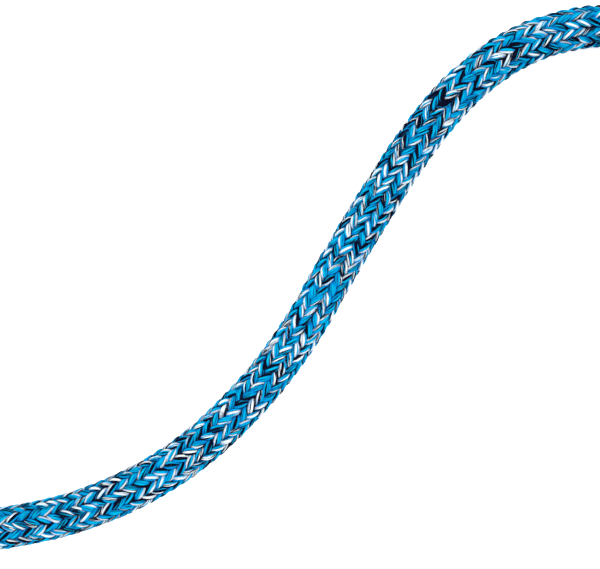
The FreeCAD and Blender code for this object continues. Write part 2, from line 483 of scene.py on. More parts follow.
@dataclass(frozen=True)
class YarnColours:
    """The dyed colours of the sheath's ends, with a painted shaded copy of the blue and of the white, and
    how often each shows.

    Attributes:
        freedom: How far an end's draw strays from its carrier's.
        blue_share: Share of floats that are blue.
        white_share: Share that are white; the rest are navy.
    """

    blue: Colour = (0.000, 0.425, 0.625, 1.0)
    # Painted shade: the blue's darker copy, for a float's low and shaded parts and its darker streaks.
    deep_blue: Colour = (0.000, 0.105, 0.400, 1.0)
    white: Colour = (0.86, 0.91, 0.91, 1.0)
    # Painted shade: the white's darker copy, for a float's low and shaded parts and its darker streaks.
    grey: Colour = (0.20, 0.27, 0.35, 1.0)
    navy: Colour = (0.003, 0.004, 0.014, 1.0)
    freedom: float = 0.35
    blue_share: float = 0.638
    white_share: float = 0.242

    def pick(self, g: Graph, effects: EffectLibrary, cell: Input, end: Input,
             streak: Input) -> dict[str, Value]:
        """Places the mixed yarn group with these colours.

        Args:
            g: The material's graph.
            effects: The shared groups.
            cell: Carrier and float.
            end: Place of the end in its carrier, -1 to 1.
            streak: From the colour's painted shade, 0, to its painted light, 1, with the fine streaks
                mixed in.

        Returns:
            The group's outputs by name.
        """
        keys = {**titled(self), "Cell": cell, "End": end, "Streak": streak}
        return g.outputs(g.add("ShaderNodeGroup", keys, node_tree=effects.mixed_yarn))


@dataclass(frozen=True)
class YarnFinish(Finish):
    """Silky mixed ends of the braid, coloured by float from the attributes on the yarns, with painted
    shade and highlights.

    Attributes:
        colours: Of an end's main ply.
        ply_colours: Of the second ply that is twisted into most ends.
        filaments: The fine streaks.
        plies: The broad streaks that tell the second ply from the main one.
        twist: Turns of an end in a metre.
        reach: How far round the carrier an end's own sides reach, in ends.
        second_from: Streak at which the second ply starts.
        ply_blur: How softly it starts.
        plain_share: Share of floats that have no second ply.
        gap_light: Share of the colour that the painted shade leaves down in the gaps.
        gap_lift: Lift of an end down in a gap, and just out of it, over which the painted shade fades.
        flank_span: Distance from the carrier's middle over which its flank darkens with painted shade, in
            ends.
        crown_span: Distance over which the painted highlight on a carrier's crown fades, in ends.
        crown_base: Painted light that is left beside the crown.
        rise_span: Lift over which a float takes on its painted highlight.
        rise_share: How much painted highlight it then takes on.
        streak_share: How much the fine streaks lighten.
        darker: Taken off everywhere.
        ply_seed: Moves the broad streaks' noise away from the fine ones'.
        ply_layer: Moves the second ply's draw away from the main one's.
    """

    name: str = "sheath_yarns"
    roughness: float = 0.38
    rough_by: Span = (0.1, -0.06)
    specular: float = 0.0
    colours: YarnColours = YarnColours()
    ply_colours: YarnColours = YarnColours(blue_share=0.41, white_share=0.09)
    filaments: Filaments = Filaments(6.0, 2.6 * MM)
    plies: Filaments = Filaments(5.0, 7.0 * MM)
    twist: float = 90.0
    reach: float = 0.71
    second_from: float = 0.51
    ply_blur: float = 0.06
    plain_share: float = 0.35
    gap_light: float = 0.18
    gap_lift: Span = (-0.2, 0.08)
    flank_span: Span = (1.38, 1.60)
    crown_span: Span = (0.1, 1.3)
    crown_base: float = 0.3
    rise_span: Span = (0.1, 1.0)
    rise_share: float = 0.40
    streak_share: float = 0.52
    darker: float = 0.04
    ply_seed: float = 60.0
    ply_layer: tuple[float, float, float] = (0.0, 0.0, 7.0)

    def surface(self, g: Graph, effects: EffectLibrary) -> tuple[Value, Value, Value]:
        """Colour by float and ply, with painted shade in the gaps, a painted highlight on each crown and a
        streak for the rest.

        Args:
            g: The material's graph.
            effects: The shared groups.

        Returns:
            The colour, what drives the roughness, and the height.
        """
        strand, counter, length = g.split(g.attribute("yarn", "Vector"))
        around, lift, end = (g.attribute(name) for name in ("around", "lift", "end"))
        across = around + length * self.twist
        streak = effects.streak(g, across, length, strand, self.filaments)
        bundle = abs(end - g.math("SINE", around * TURN) * self.reach)
        # Painted highlight: lightest on the middle of a carrier's crown where a float lies on top, with
        # the streaks added.
        crown_highlight = g.fit(bundle, self.crown_span, FALLING) + self.crown_base
        rise = g.fit(lift, self.rise_span, (0.0, self.rise_share))
        shine = streak * self.streak_share + crown_highlight * rise - self.darker
        cell = g.combine(g.math("ROUND", strand - end * END_STEP), g.math("ROUND", counter))
        main = self.colours.pick(g, effects, cell, end, shine)
        second = self.ply_colours.pick(g, effects, g.vector("ADD", cell, self.ply_layer), end, shine)
        thread = effects.streak(g, across, length, strand + self.ply_seed, self.plies)
        ply = g.fit(thread, (self.second_from, self.second_from + self.ply_blur))
        ply = ply * g.math("GREATER_THAN", second["Value"], self.plain_share)
        # Painted shade: darker where an end dives into a gap and at a carrier's flanks, tinted towards the
        # navy.
        gap_shade = g.fit(lift, self.gap_lift, (self.gap_light, 1.0))
        flank_shade = g.fit(bundle, self.flank_span, (1.0, self.gap_light))
        mixed = g.tint(ply, main["Color"], second["Color"])
        return g.tint(gap_shade * flank_shade, self.colours.navy, mixed), streak, streak


@dataclass(frozen=True)
class BraidFinish(Finish):
    """The same braid drawn on a plain tube, for the rope in the hank, from the tube's UV map.

    Attributes:
        repeat: Crossings after which a yarn's path repeats: over two, under two.
        top_middle: Where in a repeat the floats of each hand, left and right, have their middle.
        hand_apart: Step of the carrier number from one hand to the other.
        edge_drop: Height lost at an end's sides.
        bundle_drop: Height lost at a carrier's sides.
        dive_drop: Height lost where a float dives under.
        edge_power: How late the drop at an end's sides sets in.
        bundle_power: The same for a carrier's sides.
        dive_power: The same where a float dives under.
        taper: How much narrower a float is one crossing from its middle.
        gap_heights: Heights over which the painted shade of a gap fades.
        gap_light: Share of the colour that the painted shade leaves in a gap.
        streak_share: How much the fine streaks lighten.
        height_share: How much the height lightens the colour, as a painted highlight.
    """

    name: str = "sheath_braid"
    roughness: float = 0.40
    rough_by: Span = (0.1, -0.05)
    specular: float = 0.03
    depth: float = 0.5 * MM
    colours: YarnColours = YarnColours(blue_share=0.59, white_share=0.19)
    plan: BraidPlan = BRAID
    filaments: Filaments = Filaments(6.0, 1.6 * MM)
    repeat: float = 4.0
    top_middle: Span = (3.0, 1.0)
    hand_apart: float = 50.0
    edge_drop: float = 0.30
    bundle_drop: float = 0.25
    dive_drop: float = 0.5
    edge_power: float = 2.0
    bundle_power: float = 4.0
    dive_power: float = 3.0
    taper: float = 0.30
    gap_heights: Span = (-0.05, 0.55)
    gap_light: float = 0.25
    streak_share: float = 0.55
    height_share: float = 0.45

    def surface(self, g: Graph, effects: EffectLibrary) -> tuple[Value, Value, Value]:
        """Colour by float, with painted shade in the gaps, lightened by the streak and by a painted
        highlight where the float lies high.

        Args:
            g: The material's graph.
            effects: The shared groups.

        Returns:
            The colour, what drives the roughness, and the height.
        """
        around, length, _ = g.uv()
        turns = length / self.plan.lay
        right = (around - turns) * self.plan.carriers
        left = (around + turns) * self.plan.carriers
        right_yarn, left_yarn = g.math("ROUND", right), g.math("ROUND", left)
        state = g.math("FLOORED_MODULO", right_yarn + left_yarn, self.repeat)
        on_top = g.math("LESS_THAN", state, self.repeat / 2 - 0.5)
        yarn = g.blend(on_top, left_yarn, right_yarn)
        walk = yarn + g.blend(on_top, right, left) + 0.5
        along = g.math("FLOORED_MODULO", walk, self.repeat) - g.blend(on_top, *self.top_middle)
        side = g.blend(on_top, left - left_yarn, right - right_yarn) / (1.0 - along * along * self.taper)
        place = (side + 0.5) * float(len(End))
        last = float(len(End) - 1)
        end = g.math("MINIMUM", g.math("MAXIMUM", g.math("FLOOR", place), 0.0), last)
        end_side = g.math("FRACT", place) - 0.5
        number = g.math("FLOOR", walk / self.repeat) - yarn * 0.5
        carrier = g.math("FLOORED_MODULO", yarn, float(self.plan.carriers)) + on_top * self.hand_apart
        streak = effects.streak(g, end_side, length, carrier, self.filaments)
        edge = abs(end_side * 2.0) ** self.edge_power * self.edge_drop
        bundle = abs(side * 2.0) ** self.bundle_power * self.bundle_drop
        dive = abs(along) ** self.dive_power * self.dive_drop
        height = 1.0 - (edge + bundle + dive)
        # Painted highlight: the higher a place on the float, the lighter its colour.
        shine = streak * self.streak_share + height * self.height_share
        picked = self.colours.pick(g, effects, g.combine(carrier, number), end - 1.0, shine)
        # Painted shade: low places are tinted towards the navy.
        shade = g.fit(height, self.gap_heights, (self.gap_light, 1.0))
        return g.tint(shade, self.colours.navy, picked["Color"]), streak, height


@dataclass(frozen=True)
class ShrinkFinish(Finish):
    """Black shrunk sleeve: satin, with a faint cloudiness.

    Attributes:
        worn: Colour of its cloudy places.
        cloud_scale: Clouds in a metre.
        worn_span: Noise over which the colour changes.
        rough_span: Noise over which the roughness does.
    """

    name: str = "shrunk_sleeve"
    roughness: float = 0.34
    rough_by: Span = (-0.08, 0.12)
    specular: float = 0.35
    colour: Colour = (0.007, 0.007, 0.009, 1.0)
    worn: Colour = (0.020, 0.020, 0.024, 1.0)
    cloud_scale: float = 260.0
    worn_span: Span = (0.45, 0.75)
    rough_span: Span = (0.3, 0.7)

    def surface(self, g: Graph, effects: EffectLibrary) -> tuple[Value, Value, Value]:
        """Colour, roughness and height from the same clouds.

        Args:
            g: The material's graph.
            effects: The shared groups.

        Returns:
            The colour, what drives the roughness, and the height.
        """
        clouds = g.noise(g.get("ShaderNodeTexCoord", output="Object"), self.cloud_scale)
        colour = g.tint(g.fit(clouds, self.worn_span), self.colour, self.worn)
        return colour, g.fit(clouds, self.rough_span), clouds


@dataclass(frozen=True)
class MeltFinish(Finish):
    """Polyamide melted together at the cut: glossy, with the ends' colours run into each other.

    Attributes:
        swirl_scale: Swirls in a metre.
        distortion: How much they curl.
        blue_span: Noise over which dark turns blue.
        pale_span: Noise over which blue turns pale.
        pale_share: How pale it gets.
        rough_span: Noise over which the roughness changes.
    """

    name: str = "melted_end"
    roughness: float = 0.24
    rough_by: Span = (0.0, 0.2)
    depth: float = 0.15 * MM
    blue: Colour = (0.001, 0.110, 0.240, 1.0)
    dark: Colour = (0.003, 0.010, 0.024, 1.0)
    pale: Colour = (0.24, 0.36, 0.46, 1.0)
    swirl_scale: float = 520.0
    distortion: float = 1.5
    blue_span: Span = (0.35, 0.6)
    pale_span: Span = (0.62, 0.72)
    pale_share: float = 0.8
    rough_span: Span = (0.3, 0.7)

    def surface(self, g: Graph, effects: EffectLibrary) -> tuple[Value, Value, Value]:
        """Colour, roughness and height from the same swirls.

        Args:
            g: The material's graph.
            effects: The shared groups.

        Returns:
            The colour, what drives the roughness, and the height.
        """
        place = g.get("ShaderNodeTexCoord", output="Object")
        swirl = g.noise(place, self.swirl_scale, distortion=self.distortion)
        body = g.tint(g.fit(swirl, self.blue_span), self.dark, self.blue)
        colour = g.tint(g.fit(swirl, self.pale_span, (0.0, self.pale_share)), body, self.pale)
        return colour, g.fit(swirl, self.rough_span), swirl


@dataclass(frozen=True)
class WebbingFinish(Finish):
    """Woven webbing: ribs along the strap, crossed by the weft, from the strap's UV map.

    Attributes:
        warp: Colour deep in the weave, darker there as painted shade.
        light: Colour on top of it.
        rib_width: From one rib to the next.
        pick_length: From one pick of the weft to the next.
        rib_power: How pointed a rib is.
        pick_power: How pointed a pick is.
        filaments: Streaks, counted in one rib.
        dull: Share of the light that the darkest and the lightest streaks keep.
    """

    name: str = "webbing"
    roughness: float = 0.60
    sheen: float = 0.08
    specular: float = 0.20
    depth: float = 0.35 * MM
    warp: Colour = (0.005, 0.005, 0.006, 1.0)
    light: Colour = (0.055, 0.057, 0.064, 1.0)
    rib_width: float = 1.9 * MM
    pick_length: float = 1.3 * MM
    rib_power: float = 0.6
    pick_power: float = 0.5
    filaments: Filaments = Filaments(5.0, 1.2 * MM)
    dull: Span = (0.4, 1.0)

    def surface(self, g: Graph, effects: EffectLibrary) -> tuple[Value, Value, Value]:
        """Colour and height from the ribs and the picks of the weave, the colour darker deep in the weave
        as painted shade.

        Args:
            g: The material's graph.
            effects: The shared groups.

        Returns:
            The colour, what drives the roughness, and the height.
        """
        across, along, _ = g.uv()
        rib = across / self.rib_width
        number = g.math("FLOOR", rib)
        pick = along / self.pick_length + g.math("FLOORED_MODULO", number, 2.0) * 0.5
        rib_height = abs(g.math("SINE", rib * math.pi)) ** self.rib_power
        height = rib_height * abs(g.math("SINE", pick * math.pi)) ** self.pick_power
        streak = effects.streak(g, g.math("FRACT", rib), along, number, self.filaments)
        # Painted shade: the lower a place in the weave, the darker its colour.
        shine = height * height * g.fit(streak, UNIT, self.dull)
        return g.tint(shine, self.warp, self.light), streak, height


@dataclass(frozen=True)
class StrandFinish(Finish):
    """Plain filaments in one colour, for stitches, the core's strands and the tape.

    Attributes:
        colour: Of a light filament.
        shadow: Of a dark one.
        filaments: Streaks, counted in one metre.
    """

    name: str = "strand"
    sheen: float = 0.15
    depth: float = 0.06 * MM
    colour: Colour = (0.80, 0.80, 0.78, 1.0)
    shadow: Colour = (0.55, 0.55, 0.55, 1.0)
    filaments: Filaments = Filaments(900.0, 1.5 * MM)

    def surface(self, g: Graph, effects: EffectLibrary) -> tuple[Value, Value, Value]:
        """Colour and height from upright streaks.

        Args:
            g: The material's graph.
            effects: The shared groups.

        Returns:
            The colour, what drives the roughness, and the height.
        """
        x, y, z = g.split(g.get("ShaderNodeTexCoord", output="Object"))
        streak = effects.streak(g, x + y, z, 0.0, self.filaments)
        return g.tint(streak, self.shadow, self.colour), streak, streak


@dataclass(frozen=True)
class FloorFinish(Finish):
    """Plain pale floor that gives back some light of its own, so that shadows on it stay faint.

    Attributes:
        glow: Strength of its own light.
        glow_colour: Colour of that light.
    """

    name: str = "floor"
    roughness: float = 0.9
    specular: float = 0.1
    colour: Colour = (0.55, 0.55, 0.55, 1.0)
    glow_colour: Colour = (1.0, 1.0, 1.0, 1.0)
    glow: float = 0.72

    def plain(self) -> Material:
        """Builds the material, which has nothing that varies.

        Returns:
            The material.
        """
        material, _, shader = self.start()
        shader.inputs["Base Color"].default_value = self.colour
        shader.inputs["Emission Color"].default_value = self.glow_colour
        shader.inputs["Emission Strength"].default_value = self.glow
        return material


CORE_STRAND = StrandFinish("core_strand")
MARKER_TAPE = StrandFinish(
    "marker_tape", roughness=0.35, colour=(0.72, 0.55, 0.06, 1.0), shadow=(0.50, 0.36, 0.03, 1.0),
    filaments=Filaments(300.0, 1.5 * MM))
THREAD = StrandFinish(
    "thread", colour=(0.30, 0.31, 0.33, 1.0), shadow=(0.16, 0.16, 0.18, 1.0),
    filaments=Filaments(2000.0, 1.5 * MM))
# Painted shade: the near-black tube under the yarns stands in for the shade in the gaps between them.
UNDER_YARN_SHADE = StrandFinish(
    "sheath_under_yarn_shade", colour=(0.010, 0.030, 0.060, 1.0), shadow=(0.004, 0.006, 0.015, 1.0))


@dataclass
class HankWinding:
    """The turns of the hank as control points of the rope's own line.

    Layers spiral in and out in turn. Each but the last climbs to the next where it turns back,
    and the last ends on the side where the rope came in.

    Attributes:
        turn_step: From one turn to the next beside it.
        layer_rise: From one layer to the next.
        half_turns: In a layer; the last has one fewer.
        fold_radius: Of the outermost fold.
        run: Straight length between the folds.
        last_run: Where the rope ends, past the left folds.
        fold_points: Control points of one fold.
        run_points: Control points of one run.
        looseness: How far a fold may lie from its place.
        unevenness: How far a run's points may lie from theirs.
    """

    turn_step: float = 10.7 * MM
    layer_rise: float = 10.8 * MM
    layers: int = 13
    half_turns: int = 7
    fold_radius: float = 61.6 * MM
    run: float = 186.0 * MM
    last_run: float = 118.0 * MM
    fold_points: int = 8
    run_points: int = 3
    looseness: float = 3.0 * MM
    unevenness: float = 0.25 * MM
    seed: int = 11

    def radii(self, layer: int) -> list[float]:
        """Fold radii of a layer.

        Args:
            layer: Its number, from 0 at the bottom.

        Returns:
            The radii in the order in which the rope runs through them.
        """
        inward = [self.fold_radius - k * self.turn_step / 2 for k in range(self.half_turns)]
        if layer == self.layers - 1:
            return inward[1:]
        return inward if layer % 2 == 0 else inward[::-1]

    def climbing_fold(self, layer: int) -> int | None:
        """Number of the fold after which a layer climbs to the next one.

        Args:
            layer: Its number, from 0 at the bottom.

        Returns:
            The fold's number, or None for the last layer.
        """
        if layer == self.layers - 1:
            return None
        return self.half_turns - (2 if layer == self.layers - 2 else 1)

    def fold(self, x: float, y: float, z: float, radius: float, heading: int) -> list[Vector]:
        """Control points of one half turn, from the last of the run before to the first after.

        Args:
            x: Where the straight runs end.
            y: Of the run that comes in.
            z: Height of the fold.
            radius: Of the rope's centre line.
            heading: 1 for a fold entered towards +X, -1 for the other end.

        Returns:
            The points in order.
        """
        step = math.pi / self.fold_points
        reach = radius / math.cos(step / 2)
        lead = radius * math.tan(step / 2)
        middle = y - heading * radius
        points = [Vector((x - heading * lead, y, z))]
        for k in range(self.fold_points):
            angle = (k + 0.5) * step
            across, along = reach * math.sin(angle), reach * math.cos(angle)
            points.append(Vector((x + heading * across, middle + heading * along, z)))
        points.append(Vector((x - heading * lead, y - 2 * heading * radius, z)))
        return points

    def run_between(self, start: Vector, end: Vector, draw: random.Random) -> list[Vector]:
        """Points along a run, a little uneven.

        Args:
            start: Where the run starts.
            end: Where it ends.
            draw: Source of the unevenness.

        Returns:
            The points in order, without the run's ends.
        """
        points = []
        for k in range(1, self.run_points + 1):
            point = start.lerp(end, k / (self.run_points + 1))
            shift = (draw.uniform(-1, 1) * self.unevenness for _ in range(2))
            points.append(point + Vector((0.0, *shift)))
        return points

    def points(self, entry: Vector) -> list[Vector]:
        """Control points from the entry to the rope's coiled end.

        Args:
            entry: Where the rope comes in.

        Returns:
            The points in order, without the entry itself.
        """
        draw = random.Random(self.seed)
        left, right = entry.x + self.fold_radius, entry.x + self.fold_radius + self.run
        line = [entry.copy()]
        y, z, heading = entry.y, entry.z, 1
        for layer in range(self.layers):
            end_x = {1: right - draw.uniform(0, self.looseness)}
            end_x[-1] = left + draw.uniform(-1, 1) * self.looseness
            for k, radius in enumerate(self.radii(layer)):
                fold = self.fold(end_x[heading], y, z, radius, heading)
                line += self.run_between(line[-1], fold[0], draw) + fold
                y -= 2 * heading * radius
                heading = -heading
                if k == self.climbing_fold(layer):
                    z += self.layer_rise
        end = Vector((left + self.last_run, y, z))
        line += self.run_between(line[-1], end, draw) + [end]
        return line[1:]


class RopeLine:
    """The rope's centre line from its free end to its coiled end, as one NURBS spline."""

    def __init__(self, winding: HankWinding) -> None:
        """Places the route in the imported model's frame and adds the winding to it.

        Args:
            winding: The turns that follow the route.
        """
        _, sheath_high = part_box("sheath_free_stretch")
        strap_low, strap_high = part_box("strap_1")
        fold_y = ROUTE[-1][1] - winding.fold_radius
        strap_y = (strap_low.y + strap_high.y) / 2
        self.shift = Vector((sheath_high.x - ROUTE[-1][0], strap_y - fold_y, 0.0))
        self.route = [Vector(point) + self.shift for point in ROUTE]
        self.entry = self.route[-1]
        self.controls = self.route + winding.points(self.entry)

    def read(self, resolution: int = 24) -> np.ndarray:
        """Points of the spline.

        Args:
            resolution: Points from one control point to the next.

        Returns:
            An array of points in order, one row each.
        """
        curve = bpy.data.curves.new("rope_line", "CURVE")
        curve.dimensions = "3D"
        spline = curve.splines.new("NURBS")
        spline.points.add(len(self.controls) - 1)
        for point, place in zip(spline.points, self.controls):
            point.co = (*place, 1.0)
        spline.order_u = 3
        spline.use_endpoint_u = True
        spline.resolution_u = resolution
        holder = bpy.data.objects.new("rope_line", curve)
        bpy.context.scene.collection.objects.link(holder)
        depsgraph = bpy.context.evaluated_depsgraph_get()
        mesh = bpy.data.meshes.new_from_object(holder.evaluated_get(depsgraph))
        line = np.empty(len(mesh.vertices) * 3)
        mesh.vertices.foreach_get("co", line)
        bpy.data.objects.remove(holder)
        bpy.data.curves.remove(curve)
        bpy.data.meshes.remove(mesh)
        return line.reshape(-1, 3)


def distances(line: np.ndarray) -> np.ndarray:
    """Distance along a line at each of its points."""
    steps = np.linalg.norm(np.diff(line, axis=0), axis=1)
    return np.concatenate([[0.0], np.cumsum(steps)])


def directions(line: np.ndarray) -> np.ndarray:
    """Unit direction of a line at each of its points."""
    ahead = np.gradient(line, axis=0)
    return ahead / np.linalg.norm(ahead, axis=1)[:, None]


def round_angles(sides: int) -> np.ndarray:
    """Angles of evenly spaced points on a circle."""
    return np.arange(sides) * TURN / sides


class Guide:
    """Places and axes along a line, also a little past its ends."""

    def __init__(self, line: np.ndarray) -> None:
        """Works out distances, directions and axes, which the line carries without twist.

        Args:
            line: Points in order.
        """
        self.line = line
        self.along = distances(line)
        self.ahead = directions(line)
        self.first = np.empty_like(line)
        axis = np.cross(self.ahead[0], (0.0, 0.0, 1.0))
        for k, way in enumerate(self.ahead):
            axis = axis - way * np.dot(axis, way)
            axis = axis / np.linalg.norm(axis)
            self.first[k] = axis
        self.second = np.cross(self.ahead, self.first)

    @property
    def length(self) -> float:
        """Length of the whole line."""
        return float(self.along[-1])

    def between(self, values: np.ndarray, stations: np.ndarray) -> np.ndarray:
        """Values of the line's points, read at other distances."""
        return np.stack([np.interp(stations, self.along, values[:, k]) for k in range(3)], axis=1)

    def rings(self, stations: np.ndarray, radii: np.ndarray) -> np.ndarray:
        """Rings of points round the line.

        Args:
            stations: Distance of each ring from the line's start.
            radii: One row of radii for each ring.

        Returns:
            The points of all rings in order.
        """
        past = stations - np.clip(stations, 0.0, self.length)
        centres = self.between(self.line, stations) + past[:, None] * self.between(self.ahead, stations)
        angles = round_angles(radii.shape[1])[None, :, None]
        first, second = self.between(self.first, stations), self.between(self.second, stations)
        out = np.cos(angles) * first[:, None] + np.sin(angles) * second[:, None]
        return (centres[:, None] + out * radii[:, :, None]).reshape(-1, 3)


def add_object(name: str, mesh: Mesh) -> Piece:
    """Puts a mesh into the scene at the origin.

    Args:
        name: Of its object.
        mesh: The mesh.

    Returns:
        The object.
    """
    thing = bpy.data.objects.new(name, mesh)
    bpy.context.scene.collection.objects.link(thing)
    return thing


def mesh_from(name: str, points: np.ndarray, faces: Sequence[Sequence[int]]) -> Mesh:
    """Makes a smooth mesh.

    Args:
        name: The mesh's name.
        points: One row each, or in rings.
        faces: Numbers of their points.

    Returns:
        The mesh.
    """
    mesh = bpy.data.meshes.new(name)
    mesh.from_pydata(points.reshape(-1, 3).tolist(), [], faces)
    mesh.polygons.foreach_set("use_smooth", [True] * len(mesh.polygons))
    mesh.update()
    return mesh


def ring_faces(rings: int, sides: int) -> list[tuple[int, ...]]:
    """Faces of a tube.

    Args:
        rings: Rings of points.
        sides: Points in a ring.

    Returns:
        The faces between the rings, and last of all a cap at each end.
    """
    faces = []
    for low in range(0, (rings - 1) * sides, sides):
        for j in range(sides):
            after = (j + 1) % sides
            faces.append((low + j, low + after, low + sides + after, low + sides + j))
    last = (rings - 1) * sides
    faces.append(tuple(range(sides - 1, -1, -1)))
    faces.append(tuple(range(last, last + sides)))
    return faces


def carry(piece: Piece, slot: str, *nodes: str) -> None:
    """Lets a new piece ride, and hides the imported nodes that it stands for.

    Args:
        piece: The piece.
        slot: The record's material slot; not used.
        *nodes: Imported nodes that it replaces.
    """
    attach(piece, BODY)
    if nodes:
        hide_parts(*nodes)
    log.info("%s: %d faces", piece.name, len(piece.data.polygons))


def add_piece(mesh: Mesh, material: Material, slot: str, *nodes: str) -> Piece:
    """Makes a piece of a mesh.

    Args:
        mesh: Its mesh, which has the piece's name.
        material: Its material.
        slot: The record's material slot.
        *nodes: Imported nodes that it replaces.

    Returns:
        The piece.
    """
    piece = add_object(mesh.name, mesh)
    mesh.materials.append(material)
    carry(piece, slot, *nodes)
    return piece


def grown(name: str, points: Sequence[Sequence[float]], edges: Sequence[tuple[int, int]],
          tree: Tree, values: Mapping[str, object]) -> Piece:
    """Runs a geometry tree on some edges and keeps its result as a plain mesh.

    Args:
        name: Of the new piece.
        points: That the edges join.
        edges: Pairs of points.
        tree: The tree.
        values: Its inputs by name, the material among them.

    Returns:
        The new piece.
    """
    base = bpy.data.meshes.new(name)
    base.from_pydata(points, edges, [])
    thing = add_object(name, base)
    modifier = thing.modifiers.new("grown", "NODES")
    modifier.node_group = tree
    for item in tree.interface.items_tree:
        if item.item_type == "SOCKET" and item.in_out == "INPUT" and item.name in values:
            modifier[item.identifier] = values[item.name]
    depsgraph = bpy.context.evaluated_depsgraph_get()
    mesh = bpy.data.meshes.new_from_object(
        thing.evaluated_get(depsgraph), preserve_all_data_layers=True, depsgraph=depsgraph)
    thing.modifiers.remove(modifier)
    thing.data = mesh
    mesh.name = name
    mesh.materials.clear()
    mesh.materials.append(values["Material"])
    mesh.polygons.foreach_set("material_index", [0] * len(mesh.polygons))
    return thing


@dataclass
class RopeTube:
    """The whole rope as one tube: bare in the hank, and under the yarns where it lies free.

    Attributes:
        line: The rope's line.
        bare_from: Distance from the free end at which the tube has its full size.
        inset: Of the bare tube's wall from the rope's full radius.
        resolution: Points from one control point to the next.
    """

    line: RopeLine
    bare_from: float
    sides: int = 12
    inset: float = 0.05 * MM
    resolution: int = 6

    def __post_init__(self) -> None:
        """Reads the line's points."""
        self.points = self.line.read(self.resolution)

    def build(self, bare: Material, shade_material: Material) -> Piece:
        """Makes the tube with its UV map: once round across, metres along.

        Args:
            bare: Material of the rope in the hank.
            shade_material: Material under the yarns, dark as painted shade for the gaps between them.

        Returns:
            The piece.
        """
        guide = Guide(self.points)
        along = guide.along
        radius = np.where(along < self.bare_from, BRAID.base_radius, ROPE.radius - self.inset)
        vertices = guide.rings(along, np.repeat(radius[:, None], self.sides, axis=1))
        mesh = mesh_from("rope", vertices, ring_faces(len(self.points), self.sides))
        self.map(mesh, along)
        rope = add_piece(mesh, bare, "sheath",
                         "sheath_free_stretch", "hank_outer_turns", "hank_inner_turns", "coiled_end")
        # The faces under the yarns get the dark material, painted shade for the gaps.
        mesh.materials.append(shade_material)
        hidden = np.repeat(along[:-1] < self.bare_from, self.sides)
        mesh.polygons.foreach_set("material_index", np.concatenate([hidden, [False, False]]).astype(int))
        log.info("rope: %.3f m long", along[-1])
        return rope

    def map(self, mesh: Mesh, along: np.ndarray) -> None:
        """Writes the UV map of the tube's walls and leaves its caps at the start.

        Args:
            mesh: The tube.
            along: Distance of each ring from the free end.
        """
        step = 1 / self.sides
        across = np.arange(self.sides) / self.sides
        walls = np.zeros((len(along) - 1, self.sides, 4, 2))
        walls[..., 0] = across[None, :, None] + np.array([0.0, step, step, 0.0])
        walls[:, :, :2, 1] = along[:-1, None, None]
        walls[:, :, 2:, 1] = along[1:, None, None]
        caps = np.zeros((2 * self.sides, 2))
        uv = mesh.uv_layers.new(name=UV)
        uv.data.foreach_set("uv", np.concatenate([walls.reshape(-1, 2), caps]).ravel())


